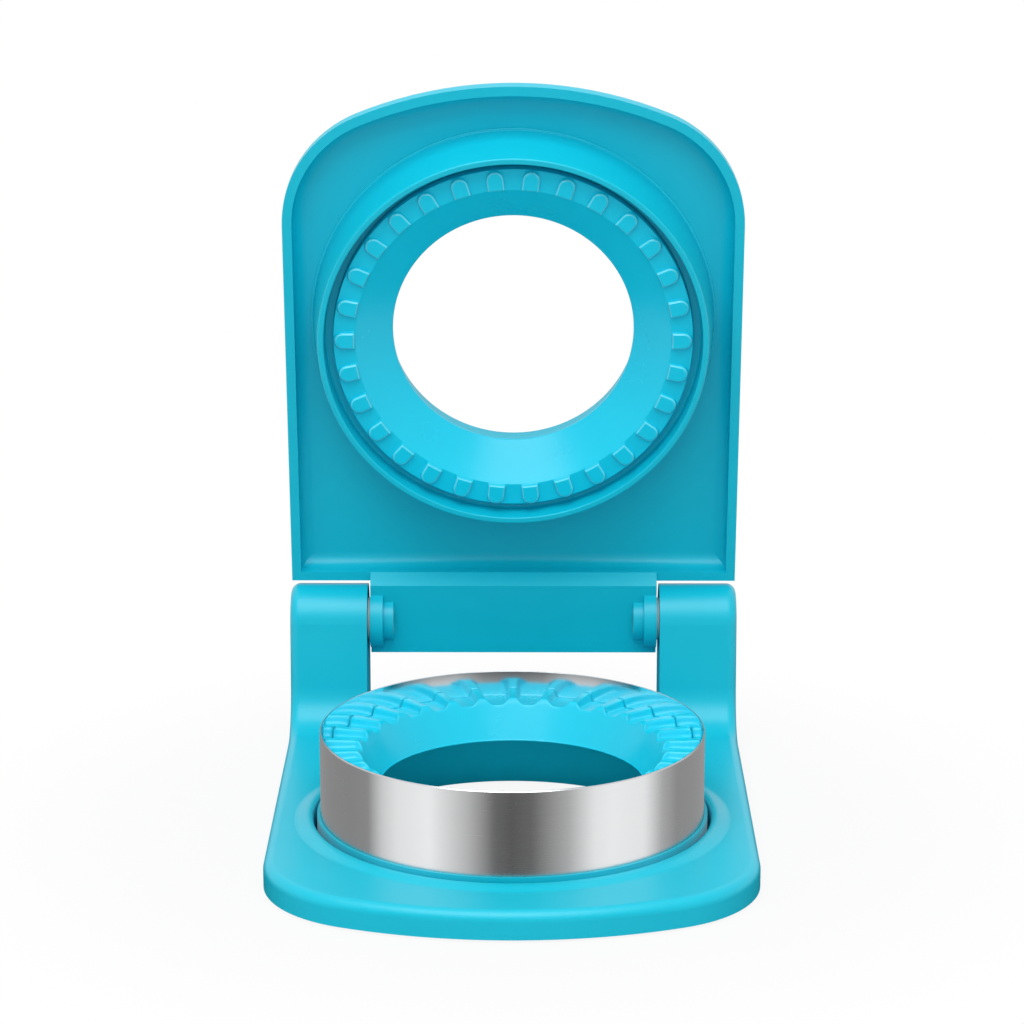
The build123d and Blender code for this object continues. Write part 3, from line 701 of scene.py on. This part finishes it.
class CUTTER_OT_stage(bpy.types.Operator):
    """Make the table, the lamps, the sky and the camera"""

    bl_idname = "cutter.stage"
    bl_label = "Stage"

    def execute(self, context):
        scene, sizes, view = context.scene, context.scene.cutter_stage, context.scene.cutter_camera
        self.table()
        self.cards()
        self.painted_dark_reflection_cards()
        width = 0.9
        for name, power, reflected, place, tilt in (
            ("Lamp overhead", sizes.key, True, (-0.1, -0.46, 1.05), (0.42, -0.08, 0.0)),
            ("Lamp in front", sizes.fill, False, (0.0, -1.3, 0.75), (1.05, 0.0, 0.0)),
        ):
            lamp = bpy.data.lights.new(name, "AREA")
            lamp.energy, lamp.size = power, width
            held = bpy.data.objects.new(name, lamp)
            held.location, held.rotation_euler = place, tilt
            held.visible_glossy = reflected
            scene.collection.objects.link(held)
        self.sky(scene, sizes.sky)
        lens = bpy.data.cameras.new("Camera")
        lens.lens, lens.sensor_width, lens.clip_end = view.lens, 36.0, 20.0
        camera = bpy.data.objects.new("Camera", lens)
        camera.location, camera.rotation_euler = view.place, (view.tilt, 0.0, view.roll)
        scene.collection.objects.link(camera)
        scene.camera = camera
        scene.view_settings.view_transform = "Standard"
        return {"FINISHED"}

    def sheet(self, name, spots, faces, finish):
        """Put a stage piece of flat faces in place."""
        mesh = bpy.data.meshes.new(name)
        mesh.from_pydata(spots, [], faces)
        mesh.materials.append(finish.owner)
        piece = bpy.data.objects.new(name, mesh)
        bpy.context.scene.collection.objects.link(piece)
        return piece

    def only_reflected(self, piece):
        """Hide a stage piece from every ray but the glossy ones."""
        for ray in ("camera", "diffuse", "shadow", "transmission", "volume_scatter"):
            setattr(piece, f"visible_{ray}", False)

    def table(self):
        """A wide white table. The camera sees plain white far from the object, and some of the lit surface
        near it, so the object's shadow stays."""
        finish = Finish(bpy.data.materials.new("Table"))
        path = finish.add("ShaderNodeLightPath")
        lit = finish.add("ShaderNodeBsdfDiffuse", {}, {"Color": (0.6, 0.6, 0.6, 1.0)})
        white = finish.add("ShaderNodeEmission", {}, {"Color": (1.0, 1.0, 1.0, 1.0), "Strength": 1.0})
        seen = finish.add(
            "ShaderNodeMath", {"operation": "MAXIMUM"},
            {0: path.named("Is Camera Ray"), 1: path.named("Is Glossy Ray")},
        )
        away = finish.add("ShaderNodeVectorMath", {"operation": "LENGTH"}, {0: finish.place()}).named("Value")
        share = finish.span(away, 0.07, 0.16, 0.9, 1.0, "SMOOTHSTEP")
        mixed = finish.add("ShaderNodeMixShader", {}, {0: seen * share, 1: lit, 2: white})
        finish.add("ShaderNodeOutputMaterial", {}, {"Surface": mixed})
        far = 4
        spots = [(-far, -far, 0), (far, -far, 0), (far, far, 0), (-far, far, 0)]
        self.sheet("table", spots, [(0, 1, 2, 3)], finish)

    def painted_dark_reflection_cards(self):
        """Two dark cards that only reflections see, one on the table and one standing far in front. They paint a
        dark reflection where table and sky are white, so that faces turned to the front keep their full colour."""
        finish = Finish(bpy.data.materials.new("Dark card"))
        dark = finish.add("ShaderNodeBsdfDiffuse", {}, {"Color": (0.01, 0.01, 0.01, 1.0)})
        finish.add("ShaderNodeOutputMaterial", {}, {"Surface": dark})
        # Painted dark reflection: these sheets are dark only to glossy rays, while the camera sees the table
        # white.
        side, low, high, lift = 0.14, -0.84, 0.3, 2e-4
        wide, away, top = 0.8, -0.85, 0.5
        card = self.sheet(
            "painted_dark_reflection_cards",
            [
                (-side, low, lift), (side, low, lift), (side, high, lift), (-side, high, lift),
                (-wide, away, 0.0), (wide, away, 0.0), (wide, away, top), (-wide, away, top),
            ],
            [(0, 1, 2, 3), (4, 5, 6, 7)], finish,
        )
        self.only_reflected(card)

    def cards(self):
        """Cards round the steel that paint its reflection: dark straight in front, a bright strip on each side of
        it and grey beyond. A short one at the inner ends of the crimp paints the polished wall's grey above it.
        They stand close to the steel, and their levels are set to follow the photo's greys on it: a painted
        reflection."""
        gap, foot, inset, reach = 1.3, 4.0, 0.35, 2.2
        # Painted reflection: these glowing cards lie close round the steel and set the bright and dark bands it
        # shows.
        self.tube(
            "painted_reflection_cards", BAND_RADIUS + gap, (foot, BAND_HIGH.z + gap), 1.0,
            (
                (-180, 0.37), (-57, 0.35), (-48, 0.38), (-42, 0.9), (-36, 1.18), (-25, 1.3), (-13, 0.68),
                (-5, 0.17), (0, 0.12), (6, 0.17), (17, 0.62), (25, 1.2), (31, 1.3), (43, 1.22), (51, 0.6),
                (59, 0.39), (180, 0.37),
            ),
        )
        self.tube(
            "inner_painted_reflection_cards", CRIMP_INNER - inset, (CREST - reach, CREST + reach), 0.3,
            (
                (-180, 0.26), (-173, 0.34), (-166, 0.74), (-160, 0.68), (-152, 0.0), (152, 0.0),
                (160, 0.68), (166, 0.74), (173, 0.34), (180, 0.26),
            ),
        )

    def tube(self, name, radius, heights, top, levels):
        """A tube of cards that only reflections in the steel see, and only from the steel's side. levels
        gives its light by the angle from the front, zero for clear, and top the share at the upper rim."""
        finish = Finish(bpy.data.materials.new(name))
        parts = finish.parts(finish.place())
        turn = finish.angle(parts.named("X"), (parts.named("Y") - RING_Y / METRE) * -1.0)
        brightest = max(level for turned, level in levels)
        stops = [
            (turned / 360 + 0.5, (*[(level or brightest) / brightest] * 3, float(level > 0)))
            for turned, level in levels
        ]
        level = finish.add(
            "ShaderNodeValToRGB", {"stops": sorted(stops[:1] + stops[-1:]) + stops[1:-1]},
            {0: turn / (2 * math.pi) + 0.5},
        )
        low, high = (height / METRE for height in heights)
        fall = finish.span(parts.named("Z"), low, high, brightest, brightest * top)
        light = finish.add("ShaderNodeEmission", {}, {"Color": level, "Strength": fall})
        clear = finish.add("ShaderNodeBsdfTransparent")
        back = finish.add("ShaderNodeNewGeometry").named("Backfacing")
        shown = (1 - back) * level.named("Alpha")
        mixed = finish.add("ShaderNodeMixShader", {}, {0: shown, 1: clear, 2: light})
        finish.add("ShaderNodeOutputMaterial", {}, {"Surface": mixed})
        sides = 180
        angle = np.linspace(0, 2 * math.pi, sides, endpoint=False)
        ring = np.stack([radius * np.sin(angle), RING_Y + radius * np.cos(angle)], axis=1) / METRE
        spots = np.concatenate([np.insert(ring, 2, height, 1) for height in (low, high)])
        index = np.arange(sides)
        beside = np.roll(index, -1)
        faces = np.stack([index, beside, beside + sides, index + sides], axis=1)
        if radius < BAND_RADIUS:
            faces = faces[:, ::-1]
        self.only_reflected(self.sheet(name, spots.tolist(), faces.tolist(), finish))

    def sky(self, scene, strength):
        """Even light from all round, and plain white where the camera or a reflection looks at it."""
        scene.world = bpy.data.worlds.new("Sky")
        sky = Finish(scene.world)
        path = sky.add("ShaderNodeLightPath")
        seen = path.named("Is Camera Ray")
        for ray in ("Is Glossy Ray", "Is Transmission Ray"):
            seen = sky.add("ShaderNodeMath", {"operation": "MAXIMUM"}, {0: seen, 1: path.named(ray)})
        dim = sky.add("ShaderNodeBackground", {}, {"Color": (0.95, 0.98, 1.0, 1.0), "Strength": strength})
        plain = sky.add("ShaderNodeBackground", {}, {"Color": (1.0, 1.0, 1.0, 1.0), "Strength": 1.0})
        mixed = sky.add("ShaderNodeMixShader", {}, {0: seen, 1: dim, 2: plain})
        sky.add("ShaderNodeOutputWorld", {}, {"Surface": mixed})


class CUTTER_PT_pieces(bpy.types.Panel):
    """The pieces and the stage, one button each"""

    bl_idname = "CUTTER_PT_pieces"
    bl_label = "Sandwich cutter"
    bl_space_type = "VIEW_3D"
    bl_region_type = "UI"
    bl_category = "Sandwich cutter"

    def draw(self, context):
        for operator in OPERATORS:
            self.layout.operator(operator.bl_idname)
        for group in GROUPS:
            settings = getattr(context.scene, group)
            box = self.layout.box()
            for name in settings.__annotations__:
                box.prop(settings, name)


GROUPS = {
    "cutter_plastic": PlasticSettings,
    "cutter_steel": SteelSettings,
    "cutter_lower_crimp": LowerCrimpSettings,
    "cutter_upper_crimp": UpperCrimpSettings,
    "cutter_camera": CameraSettings,
    "cutter_stage": StageSettings,
}
OPERATORS = (
    CUTTER_OT_finishes,
    CUTTER_OT_band,
    CUTTER_OT_lower_crimp,
    CUTTER_OT_upper_crimp,
    CUTTER_OT_collar,
    CUTTER_OT_window,
    CUTTER_OT_stage,
)


def register():
    for group, settings in GROUPS.items():
        bpy.utils.register_class(settings)
        setattr(bpy.types.Scene, group, PointerProperty(type=settings))
    for shown in (*OPERATORS, CUTTER_PT_pieces):
        bpy.utils.register_class(shown)


def unregister():
    for shown in (CUTTER_PT_pieces, *reversed(OPERATORS)):
        bpy.utils.unregister_class(shown)
    for group, settings in reversed(GROUPS.items()):
        delattr(bpy.types.Scene, group)
        bpy.utils.unregister_class(settings)


def main():
    """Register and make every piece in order."""
    register()
    for operator in OPERATORS:
        group, name = operator.bl_idname.split(".")
        getattr(getattr(bpy.ops, group), name)()


if __name__ == "__main__":
    main()
